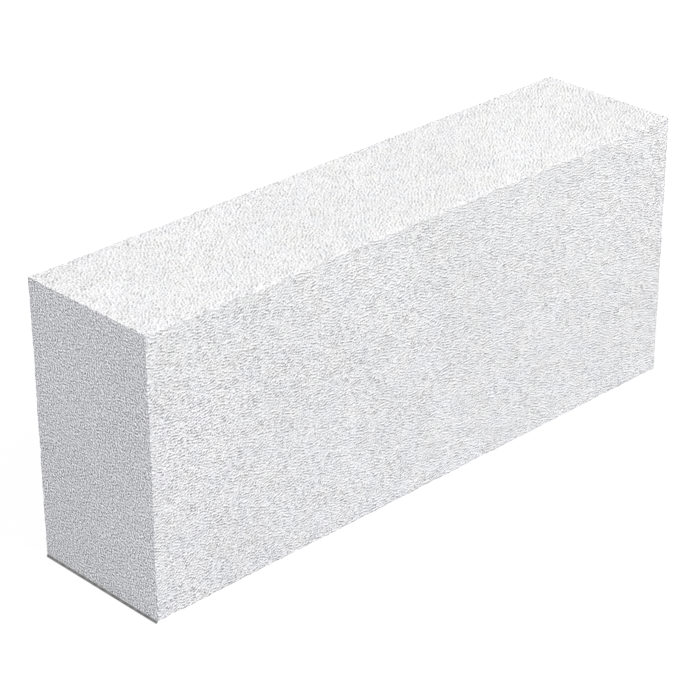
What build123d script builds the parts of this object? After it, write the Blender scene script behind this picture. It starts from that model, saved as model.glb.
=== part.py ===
from build123d import *
import os

# A solid wall block of aerated concrete, cut from one cured cake and used as a single piece.
# Sizes are in millimetres. X runs along the block, Y through the wall and Z up.
# The origin is the middle of the lower bed face, on which the block stands.

# Work size of the block, as laid in the wall
length = 600.0
wall_thickness = 140.0
course_height = 250.0

# Wires leave sharp arrises, and handling rubs each of them to a small round.
# The long arrises lie along the bed joints, and the end arrises frame the two head joints.
bed_arris_radius = 0.8
end_arris_radius = 0.6

with BuildPart() as block:
    # The section across the wall is drawn on the left head joint and runs the whole length.
    with BuildSketch(Plane.YZ.offset(-length / 2)):
        with Locations((0, course_height / 2)):
            Rectangle(wall_thickness, course_height)
    extrude(amount=length)

    # The four long arrises are rubbed first, so that the end arrises can follow their corners.
    fillet(block.edges().filter_by(Axis.X), radius=bed_arris_radius)
    left_end = block.faces().sort_by(Axis.X)[0]
    right_end = block.faces().sort_by(Axis.X)[-1]
    fillet(left_end.edges() + right_end.edges(), radius=end_arris_radius)

block.part.label = "block"

os.makedirs("parts", exist_ok=True)
export_step(block.part, "parts/block.step")
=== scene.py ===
import math

import bpy
import numpy as np
from mathutils import Matrix, Vector


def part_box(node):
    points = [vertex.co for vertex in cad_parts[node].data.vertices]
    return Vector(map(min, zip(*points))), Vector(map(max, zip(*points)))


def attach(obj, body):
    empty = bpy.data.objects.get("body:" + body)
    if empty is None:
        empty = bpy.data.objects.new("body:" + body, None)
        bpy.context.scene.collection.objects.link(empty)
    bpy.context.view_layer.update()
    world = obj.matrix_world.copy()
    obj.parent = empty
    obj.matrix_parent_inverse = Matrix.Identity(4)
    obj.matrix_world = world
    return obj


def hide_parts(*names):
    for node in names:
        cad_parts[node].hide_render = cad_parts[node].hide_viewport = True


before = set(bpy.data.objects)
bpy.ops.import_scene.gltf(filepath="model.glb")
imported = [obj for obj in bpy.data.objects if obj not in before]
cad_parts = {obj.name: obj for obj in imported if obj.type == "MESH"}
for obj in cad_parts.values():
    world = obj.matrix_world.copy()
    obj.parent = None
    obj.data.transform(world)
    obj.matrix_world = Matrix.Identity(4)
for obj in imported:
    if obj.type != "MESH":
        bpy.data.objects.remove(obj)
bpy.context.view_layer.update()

# The finish of an aerated concrete block. Lengths are in metres unless a name ends in _MM.
low, high = (np.array(corner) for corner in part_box("block"))
MM = 0.001
SEED = 11

# Camera, solved from the block's own straight edges in the photograph
LENS_MM = 128.2
SENSOR_MM = 36.0
CAMERA_PLACE = (-1.3198, -1.3383, 1.0808)
CAMERA_RIGHT = (0.7172, -0.6969, -0.0034)
CAMERA_UP = (0.3238, 0.3289, 0.8871)

# How the wire left each pair of faces, by the axis across them
# slant: degrees in the plane of the face, from the first to the second of its two axes
# order: scales of order 1 all lie along the slant, and those of order 0 lie any way
# pitch_mm: the distance from one scale to the next
# scale_mm and pit_mm: the heights of the scales and of the pits in them
# valley_shade and pit_shade: the share of its colour that a hollow loses, as painted shade; their larger
# values on the ends make those faces darker all over
# valley_end: where the painted shade of the valleys has faded out, on the pattern's scale from 0 to 1
CUTS = {
    0: {"slant": 42.0, "order": 0.26, "pitch_mm": 2.7, "scale_mm": 0.85, "pit_mm": 1.27,
        "valley_shade": 0.61, "valley_end": 0.80, "pit_shade": 0.60},
    1: {"slant": 25.0, "order": 0.40, "pitch_mm": 2.7, "scale_mm": 2.95, "pit_mm": 0.75,
        "valley_shade": 0.34, "valley_end": 0.70, "pit_shade": 0.11},
    2: {"slant": 45.0, "order": 0.66, "pitch_mm": 3.0, "scale_mm": 2.1, "pit_mm": 1.25,
        "valley_shade": 0.335, "valley_end": 0.55, "pit_shade": 0.285},
}

# Relief that the mesh holds: ripples and a slow swell over each face. A depth is that of one deviation
# of the noise, a crest says how many deviations from its mean the face's own plane lies, and a spread
# says how widely the pitches differ.
CELL_MM = 0.8
TRIANGLES = 195000
RIPPLE_PITCH_MM = 5.0
RIPPLE_LENGTH_MM = 8.0
RIPPLE_DEPTH_MM = 0.08
RIPPLE_CREST = 1.6
RIPPLE_SPREAD = 0.45
SWELL_PITCH_MM = 60.0
SWELL_LENGTH_MM = 90.0
SWELL_DEPTH_MM = 0.05
SWELL_CREST = 3.0
SWELL_SPREAD = 0.9

# Wear along the arrises, which fades out over a band. The level, the fine and the slow wander and the
# most that it reaches are shares of ARRIS_WEAR_MM. Edges sharper than SHARP_DEG are drawn crisp.
ARRIS_ROUND_MM = 0.5
ARRIS_BAND_MM = 2.4
ARRIS_WEAR_MM = 0.3
WEAR_LEVEL = 0.8
WEAR_FINE = 0.8
WEAR_SLOW = 0.4
WEAR_MOST = 3.0
WEAR_PITCH_MM = 5.0
WEAR_SWELL_MM = 30.0
SHARP_DEG = 50.0

# Surface of the concrete. A pattern's values run from 0 to 1, and its shade or tint starts and ends at
# two of them. Its detail is the number of finer layers. More scales per cell make them more regular.
WARM_CONCRETE = (0.923, 0.920, 0.920, 1.0)
COOL_CONCRETE = (0.917, 0.918, 0.932, 1.0)
TINT_MM = 26.0
TINT_DETAIL = 1.0
TINT_START = 0.38
TINT_END = 0.62
SCALES_PER_CELL = 1.5
# VALLEY_START, PIT_START and PIT_END: where the painted shade in the valleys and pits begins and ends
VALLEY_START = 0.25
PIT_MM = 1.3
PIT_DETAIL = 0.3
PIT_START = 0.25
PIT_END = 0.50
DRIFT_MM = 90.0
DRIFT_DETAIL = 2.0
DRIFT_START = 0.2
DRIFT_END = 0.8
DRIFT_SHADE = 0.02
RUB_MM = 1.5
RUB_LIGHT = 0.02
SHINE = 0.2
ROUGHNESS_IN_VALLEYS = 0.97
ROUGHNESS_ON_SCALES = 0.85

# Floor. Its glow brings it up to white for the camera alone, and it lights the block by its bounce.
FLOOR_HALF = 4.0
FLOOR_COLOUR = 0.25
FLOOR_GLOW = 0.78
FLOOR_BOUNCE = (0.49, 0.50, 0.534, 1.0)

# Painted shadow: a dark line painted on the floor at the foot of the block's end, in place of its contact
# shadow
CONTACT_MM = 2.3
CONTACT_RISE_MM = 0.5
CONTACT_FADE_MM = 1.4
CONTACT_LEAN = 0.66
CONTACT_SHADE = 0.80
CONTACT_UNEVEN = 0.045
PATCH_MM = 5.0
PATCH_DETAIL = 1.0
PATCH_START = 0.3
PATCH_END = 0.7

# Sky and lamps. A lamp's direction points from the middle of the block to the lamp.
WHITE = (1.0, 1.0, 1.0, 1.0)
SKY_COLOUR = (1.0, 0.989, 1.0, 1.0)
SKY_STRENGTH = 0.54
KEY_DIRECTION = (0.421, -0.673, 0.608)
KEY_DISTANCE = 4.5
KEY_SIZE = 2.0
KEY_WATTS = 141.5
KEY_COLOUR = (1.0, 0.993, 0.950)
FILL_DIRECTION = (-0.83, -0.20, 0.52)
FILL_DISTANCE = 12.0
FILL_SIZE = 5.0
FILL_WATTS = 1030.0
FILL_COLOUR = (0.955, 0.963, 1.0)

# The lattice that the mesh is cut from
size_mm = (high - low) / MM
cells = np.round(size_mm / CELL_MM).astype(int)
steps_mm = size_mm / cells
strides = np.array([(cells[1] + 1) * (cells[2] + 1), cells[2] + 1, 1])


def others(axis):
    """The two axes that lie in the faces across this one."""
    return [a for a in range(3) if a != axis]


def smooth_step(x):
    """From 0 to 1 as x does the same, level at both ends."""
    x = np.clip(x, 0.0, 1.0)
    return x * x * (3.0 - 2.0 * x)


def face_noise(rng, axis, pitch_mm, length_mm, spread):
    """Noise of unit deviation over a face: features pitch_mm apart, and length_mm long along its slant."""
    b, c = others(axis)
    counts = (cells[b] + 1, cells[c] + 1)
    kb = np.fft.fftfreq(counts[0], steps_mm[b])[:, None]
    kc = np.fft.rfftfreq(counts[1], steps_mm[c])[None, :]
    turn = math.radians(CUTS[axis]["slant"])
    along = (kb * math.cos(turn) + kc * math.sin(turn)) * length_mm
    across = (kc * math.cos(turn) - kb * math.sin(turn)) * pitch_mm
    band = np.exp(-(((np.hypot(along, across) - 1.0) / spread) ** 2))
    field = np.fft.irfft2(np.fft.rfft2(rng.standard_normal(counts)) * band, counts)
    return field / field.std()


def wander(rng, axis, pitch_mm):
    """A line of unit deviation along an axis, which wanders over pitch_mm."""
    count = cells[axis] + 1
    k = np.fft.rfftfreq(count, steps_mm[axis]) * pitch_mm
    line = np.fft.irfft(np.fft.rfft(rng.standard_normal(count)) * np.exp(-(k**2)), count)
    return line / line.std()


def arris_wear(rng):
    """The depth of wear along the arrises, by their axis, the two sides they are on and the face's axis."""
    wear = {}
    for axis in range(3):
        for sides in ((0, 0), (0, 1), (1, 0), (1, 1)):
            for face in others(axis):
                fine = wander(rng, axis, WEAR_PITCH_MM)
                slow = wander(rng, axis, WEAR_SWELL_MM)
                line = WEAR_LEVEL + WEAR_FINE * fine + WEAR_SLOW * slow
                wear[axis, sides, face] = ARRIS_WEAR_MM * np.clip(line, 0.0, WEAR_MOST)
    return wear


def face_depth(rng, axis, side, wear):
    """How far in each point of a face lies: its ripples, which run out into the wear of its arrises."""
    ripples = face_noise(rng, axis, RIPPLE_PITCH_MM, RIPPLE_LENGTH_MM, RIPPLE_SPREAD)
    swell = face_noise(rng, axis, SWELL_PITCH_MM, SWELL_LENGTH_MM, SWELL_SPREAD)
    depth = RIPPLE_DEPTH_MM * np.clip(RIPPLE_CREST - ripples, 0.0, None)
    depth += SWELL_DEPTH_MM * (swell + SWELL_CREST)
    b, c = others(axis)
    for across, along in ((b, c), (c, b)):
        for edge in (0, 1):
            distance = np.abs(np.arange(cells[across] + 1) - edge * cells[across]) * steps_mm[across]
            share = 1.0 - smooth_step(distance / ARRIS_BAND_MM)
            sides = (side, edge) if axis < across else (edge, side)
            line = wear[along, sides, axis]
            if across == b:
                depth += (line[None, :] - depth) * share[:, None]
            else:
                depth += (line[:, None] - depth) * share[None, :]
    return depth


def block_lattice():
    """A closed lattice over the six faces, with their relief cut inwards from the frame's box."""
    rng = np.random.default_rng(SEED)
    wear = arris_wear(rng)
    ids, places, depths, axes, quads = [], [], [], [], []
    for axis in range(3):
        b, c = others(axis)
        i, j = np.meshgrid(np.arange(cells[b] + 1), np.arange(cells[c] + 1), indexing="ij")
        for side in (0, 1):
            index = side * cells[axis] * strides[axis] + i * strides[b] + j * strides[c]
            place = np.zeros(index.shape + (3,))
            place[..., axis] = side * size_mm[axis]
            place[..., b] = i * steps_mm[b]
            place[..., c] = j * steps_mm[c]
            ids.append(index.ravel())
            places.append(place.reshape(-1, 3))
            depths.append(face_depth(rng, axis, side, wear).ravel())
            axes.append(np.full(index.size, axis))
            corners = np.stack([index[:-1, :-1], index[1:, :-1], index[1:, 1:], index[:-1, 1:]], axis=-1)
            faces_out = (side == 1) == (axis != 1)
            winding = 1 if faces_out else -1
            quads.append(corners.reshape(-1, 4)[:, ::winding])

    # Neighbouring faces share the points on their arrises, and each pushes them in along its own axis.
    ids, first, inverse = np.unique(np.concatenate(ids), return_index=True, return_inverse=True)
    place = np.concatenate(places)[first]
    push = np.zeros(place.shape)
    push[inverse, np.concatenate(axes)] = np.concatenate(depths)
    quads = np.searchsorted(ids, np.concatenate(quads))

    # The box is rounded at its arrises before the push.
    inner = np.clip(place, ARRIS_ROUND_MM, size_mm - ARRIS_ROUND_MM)
    outward = place - inner
    rounded = inner + outward * (ARRIS_ROUND_MM / np.linalg.norm(outward, axis=1)[:, None])
    place = rounded - np.sign(outward) * push
    mesh = bpy.data.meshes.new("block_lattice")
    mesh.from_pydata((place * MM + low).tolist(), [], quads.tolist())
    return mesh


def thinned(lattice):
    """The lattice as a mesh of few enough triangles, still inside the frame's box."""
    carrier = bpy.data.objects.new("lattice_carrier", lattice)
    bpy.context.scene.collection.objects.link(carrier)
    carrier.modifiers.new("triangles", "TRIANGULATE")
    thin = carrier.modifiers.new("thin", "DECIMATE")
    thin.ratio = TRIANGLES / (2 * len(lattice.polygons))
    graph = bpy.context.evaluated_depsgraph_get()
    mesh = bpy.data.meshes.new_from_object(carrier.evaluated_get(graph))
    bpy.data.objects.remove(carrier)
    bpy.data.meshes.remove(lattice)
    place = np.zeros(len(mesh.vertices) * 3, np.float32)
    mesh.vertices.foreach_get("co", place)
    place = np.clip(place.reshape(-1, 3), low, high).astype(np.float32)
    mesh.vertices.foreach_set("co", place.ravel())
    return mesh


def carved_block():
    """The block, with a material for each cut, smooth over its ripples and crisp at its arrises."""
    mesh = thinned(block_lattice())
    mesh.name = "aerated_block"
    mesh.shade_smooth()
    mesh.set_sharp_from_angle(angle=math.radians(SHARP_DEG))
    for axis in range(3):
        mesh.materials.append(concrete_material(axis))
    normals = np.zeros(len(mesh.polygons) * 3, np.float32)
    mesh.polygons.foreach_get("normal", normals)
    facing = np.abs(normals.reshape(-1, 3)).argmax(axis=1)
    mesh.polygons.foreach_set("material_index", facing.astype(np.int32))
    piece = bpy.data.objects.new("aerated_block", mesh)
    bpy.context.scene.collection.objects.link(piece)
    return piece


class Nodes:
    """The node tree of a material or a world, emptied, with short ways to fill it."""

    def __init__(self, owner):
        owner.use_nodes = True
        self.tree = owner.node_tree
        self.tree.nodes.clear()
        self.link = self.tree.links.new

    def add(self, kind, **values):
        """A node. Names of settings start with a small letter, and names of inputs with a capital."""
        made = self.tree.nodes.new(kind)
        for name, value in values.items():
            if name[0].islower():
                setattr(made, name, value)
            else:
                made.inputs[name].default_value = value
        return made

    def maths(self, operation, one, other=0.0):
        """The result of an operation on sockets or numbers."""
        made = self.add("ShaderNodeMath", operation=operation)
        for socket, value in zip(made.inputs, (one, other)):
            if isinstance(value, (int, float)):
                socket.default_value = value
            else:
                self.link(value, socket)
        return made.outputs[0]

    def ramp(self, value, start, end, first_out, last_out):
        """A smooth change from first_out to last_out as the value goes from start to end."""
        made = self.add("ShaderNodeMapRange", interpolation_type="SMOOTHSTEP")
        limits = {"From Min": start, "From Max": end, "To Min": first_out, "To Max": last_out}
        for name, number in limits.items():
            made.inputs[name].default_value = number
        self.link(value, made.inputs["Value"])
        return made.outputs["Result"]

    def coordinates(self):
        """The X, Y and Z of a point on the object."""
        parts = self.add("ShaderNodeSeparateXYZ")
        self.link(self.add("ShaderNodeTexCoord").outputs["Object"], parts.inputs[0])
        return parts.outputs

    def seen_or_lighting(self, seen, lighting):
        """One shader for what the camera, gloss and glass see, and another for the light given off."""
        path = self.add("ShaderNodeLightPath")
        looked_at = self.maths("MAXIMUM", path.outputs["Is Camera Ray"], path.outputs["Is Glossy Ray"])
        looked_at = self.maths("MAXIMUM", looked_at, path.outputs["Is Transmission Ray"])
        mix = self.add("ShaderNodeMixShader")
        for value, socket in zip((looked_at, lighting, seen), mix.inputs):
            self.link(value, socket)
        return mix.outputs[0]


def face_sheet(nodes, xyz, axis):
    """A face as a flat sheet. The coordinate across it shifts the sheet, so that opposite faces differ."""
    b, c = others(axis)
    sheet = nodes.add("ShaderNodeCombineXYZ")
    nodes.link(nodes.maths("ADD", xyz[b], xyz[axis]), sheet.inputs[0])
    nodes.link(xyz[c], sheet.inputs[1])
    return sheet.outputs[0]


def turned(nodes, sheet, slant, cell_mm):
    """A sheet turned to the slant of its cut, with one unit to each cell_mm."""
    mapping = nodes.add("ShaderNodeMapping", vector_type="TEXTURE",
                        Rotation=(0.0, 0.0, math.radians(slant)),
                        Scale=(cell_mm * MM, cell_mm * MM, 1.0))
    nodes.link(sheet, mapping.inputs["Vector"])
    return mapping.outputs["Vector"]


def cloud(nodes, sheet, detail):
    """Cloudy noise from 0 to 1 over a sheet, with cells of one unit."""
    made = nodes.add("ShaderNodeTexNoise", noise_dimensions="2D", Scale=1.0, Detail=detail)
    nodes.link(sheet, made.inputs["Vector"])
    return made.outputs["Fac"]


def scale_pattern(nodes, sheet, order):
    """The scales over a sheet, from 0 between them to 1 on top, which lie along it as far as order says."""
    waves = nodes.add("ShaderNodeTexGabor", gabor_type="2D", Scale=1.0, Frequency=SCALES_PER_CELL,
                      Anisotropy=order, Orientation=math.pi / 2)
    nodes.link(sheet, waves.inputs["Vector"])
    return waves.outputs["Value"]


def rubbed(nodes, xyz, axis):
    """The lightness of a face, which rises at its arrises."""
    insides = []
    for in_plane in others(axis):
        middle = float(low[in_plane] + high[in_plane]) / 2
        half = float(high[in_plane] - low[in_plane]) / 2
        from_middle = nodes.maths("ABSOLUTE", nodes.maths("SUBTRACT", xyz[in_plane], middle))
        insides.append(nodes.maths("SUBTRACT", half, from_middle))
    from_arris = nodes.maths("MINIMUM", *insides)
    return nodes.ramp(from_arris, 0.0, RUB_MM * MM, 1.0 + RUB_LIGHT, 1.0)


def tinted(nodes, pattern):
    """The concrete's own colour, from warm to cool by the value of a pattern."""
    tint = nodes.add("ShaderNodeValToRGB")
    warm, cool = tint.color_ramp.elements
    warm.position = TINT_START
    warm.color = WARM_CONCRETE
    cool.position = TINT_END
    cool.color = COOL_CONCRETE
    nodes.link(pattern, tint.inputs["Fac"])
    return tint.outputs["Color"]


def concrete_material(axis):
    """Wire-cut aerated concrete for the two faces across an axis, with scales along that cut's slant."""
    cut = CUTS[axis]
    material = bpy.data.materials.new("aerated_concrete_" + "xyz"[axis])
    nodes = Nodes(material)
    xyz = nodes.coordinates()
    sheet = face_sheet(nodes, xyz, axis)

    def over(cell_mm):
        return turned(nodes, sheet, cut["slant"], cell_mm)

    scales = scale_pattern(nodes, over(cut["pitch_mm"] * SCALES_PER_CELL), cut["order"])
    pits = cloud(nodes, over(PIT_MM), PIT_DETAIL)

    # Colour: pale grey, with painted shade in the valleys and pits, a slow drift, and paler at the arrises
    valley = nodes.ramp(scales, VALLEY_START, cut["valley_end"], 1.0 - cut["valley_shade"], 1.0)
    pit = nodes.ramp(pits, PIT_START, PIT_END, 1.0 - cut["pit_shade"], 1.0)
    slow = cloud(nodes, over(DRIFT_MM), DRIFT_DETAIL)
    drift = nodes.ramp(slow, DRIFT_START, DRIFT_END, 1.0 - DRIFT_SHADE, 1.0 + DRIFT_SHADE)
    painted_hollow_shade = nodes.maths("MULTIPLY", valley, pit)
    broad_shade = nodes.maths("MULTIPLY", drift, rubbed(nodes, xyz, axis))
    colour = nodes.add("ShaderNodeVectorMath", operation="SCALE")
    nodes.link(tinted(nodes, cloud(nodes, over(TINT_MM), TINT_DETAIL)), colour.inputs[0])
    nodes.link(nodes.maths("MULTIPLY", painted_hollow_shade, broad_shade), colour.inputs["Scale"])

    # Relief too fine for the mesh
    scale_height = nodes.maths("MULTIPLY", scales, cut["scale_mm"])
    pit_height = nodes.maths("MULTIPLY", pits, cut["pit_mm"])
    bump = nodes.add("ShaderNodeBump", Strength=1.0, Distance=MM)
    nodes.link(nodes.maths("ADD", scale_height, pit_height), bump.inputs["Height"])

    shader = nodes.add("ShaderNodeBsdfPrincipled")
    shader.inputs["Specular IOR Level"].default_value = SHINE
    nodes.link(colour.outputs["Vector"], shader.inputs["Base Color"])
    roughness = nodes.ramp(scales, VALLEY_START, cut["valley_end"],
                           ROUGHNESS_IN_VALLEYS, ROUGHNESS_ON_SCALES)
    nodes.link(roughness, shader.inputs["Roughness"])
    nodes.link(bump.outputs["Normal"], shader.inputs["Normal"])
    nodes.link(shader.outputs["BSDF"], nodes.add("ShaderNodeOutputMaterial").inputs["Surface"])
    return material


def painted_contact_shadow(nodes):
    """How much the painted contact shadow darkens the floor on the line at the foot of the block's end,
    with 0 away from it.
    """
    x, y, _ = nodes.coordinates()
    outward = nodes.maths("SUBTRACT", float(low[0]), x)
    fade = nodes.ramp(outward, CONTACT_MM * MM, (CONTACT_MM + CONTACT_FADE_MM) * MM, CONTACT_SHADE, 0.0)
    rise = nodes.ramp(outward, (CONTACT_RISE_MM - CONTACT_MM) * MM, CONTACT_RISE_MM * MM, 0.0, 1.0)
    across = nodes.maths("MULTIPLY", fade, rise)

    # Patches make the painted shadow uneven along the line
    patches = nodes.add("ShaderNodeTexNoise", noise_dimensions="2D", Scale=1.0 / (PATCH_MM * MM),
                        Detail=PATCH_DETAIL)
    nodes.link(nodes.add("ShaderNodeTexCoord").outputs["Object"], patches.inputs["Vector"])
    uneven = nodes.ramp(patches.outputs["Fac"], PATCH_START, PATCH_END,
                        1.0 - CONTACT_UNEVEN, 1.0 + CONTACT_UNEVEN)
    across = nodes.maths("MULTIPLY", across, uneven)

    # On its way out the line gets shorter at the far corner, and longer at the near one.
    near = nodes.maths("ADD", nodes.maths("MULTIPLY", outward, CONTACT_LEAN), y)
    far = nodes.maths("ADD", y, outward)
    reach = nodes.maths("MAXIMUM", nodes.maths("MULTIPLY", near, -1.0), far)
    along = nodes.ramp(reach, float(high[1]) - CONTACT_FADE_MM * MM, float(high[1]), 1.0, 0.0)
    return nodes.maths("MULTIPLY", across, along)


def floor_material():
    """A floor that the camera sees as white paper, with the block's soft shadow and a painted contact
    shadow at the foot of the end.
    """
    material = bpy.data.materials.new("pale_floor")
    nodes = Nodes(material)
    # The painted contact shadow darkens the floor's colour and its glow alike
    lightness = nodes.maths("SUBTRACT", 1.0, painted_contact_shadow(nodes))
    paper = nodes.add("ShaderNodeBsdfDiffuse")
    nodes.link(nodes.maths("MULTIPLY", lightness, FLOOR_COLOUR), paper.inputs["Color"])
    glow = nodes.add("ShaderNodeEmission")
    nodes.link(nodes.maths("MULTIPLY", lightness, FLOOR_GLOW), glow.inputs["Strength"])
    seen = nodes.add("ShaderNodeAddShader")
    nodes.link(paper.outputs[0], seen.inputs[0])
    nodes.link(glow.outputs[0], seen.inputs[1])
    lighting = nodes.add("ShaderNodeBsdfDiffuse", Color=FLOOR_BOUNCE)
    shader = nodes.seen_or_lighting(seen.outputs[0], lighting.outputs[0])
    nodes.link(shader, nodes.add("ShaderNodeOutputMaterial").inputs["Surface"])
    return material


def studio_world():
    """A soft sky that lights the block, and shows as white."""
    world = bpy.data.worlds.new("studio")
    bpy.context.scene.world = world
    nodes = Nodes(world)
    sky = nodes.add("ShaderNodeBackground", Color=SKY_COLOUR, Strength=SKY_STRENGTH)
    white = nodes.add("ShaderNodeBackground", Color=WHITE)
    shader = nodes.seen_or_lighting(white.outputs[0], sky.outputs[0])
    nodes.link(shader, nodes.add("ShaderNodeOutputWorld").inputs["Surface"])


def softbox(name, direction, distance, size, watts, colour):
    """A square area lamp that looks at the middle of the block."""
    middle = Vector(((low + high) / 2).tolist())
    toward = Vector(direction).normalized()
    data = bpy.data.lights.new(name, "AREA")
    data.shape = "SQUARE"
    data.size = size
    data.energy = watts
    data.color = colour
    lamp = bpy.data.objects.new(name, data)
    lamp.location = middle + toward * distance
    lamp.rotation_euler = toward.to_track_quat("Z", "Y").to_euler()
    bpy.context.scene.collection.objects.link(lamp)


def floor():
    """A wide floor under the block."""
    half = FLOOR_HALF
    corners = [(-half, -half, 0), (half, -half, 0), (half, half, 0), (-half, half, 0)]
    mesh = bpy.data.meshes.new("floor")
    mesh.from_pydata(corners, [], [(0, 1, 2, 3)])
    mesh.materials.append(floor_material())
    plane = bpy.data.objects.new("floor", mesh)
    bpy.context.scene.collection.objects.link(plane)


def camera():
    """The photograph's camera."""
    data = bpy.data.cameras.new("camera")
    data.lens = LENS_MM
    data.sensor_width = SENSOR_MM
    back = Vector(CAMERA_RIGHT).cross(Vector(CAMERA_UP))
    turn = Matrix((CAMERA_RIGHT, CAMERA_UP, back)).transposed()
    eye = bpy.data.objects.new("camera", data)
    eye.matrix_world = Matrix.Translation(CAMERA_PLACE) @ turn.to_4x4()
    bpy.context.scene.collection.objects.link(eye)
    bpy.context.scene.camera = eye


block = carved_block()
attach(block, "root")
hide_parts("block")

floor()
studio_world()
softbox("key", KEY_DIRECTION, KEY_DISTANCE, KEY_SIZE, KEY_WATTS, KEY_COLOUR)
softbox("fill", FILL_DIRECTION, FILL_DISTANCE, FILL_SIZE, FILL_WATTS, FILL_COLOUR)
camera()
bpy.context.scene.view_settings.view_transform = "Standard"
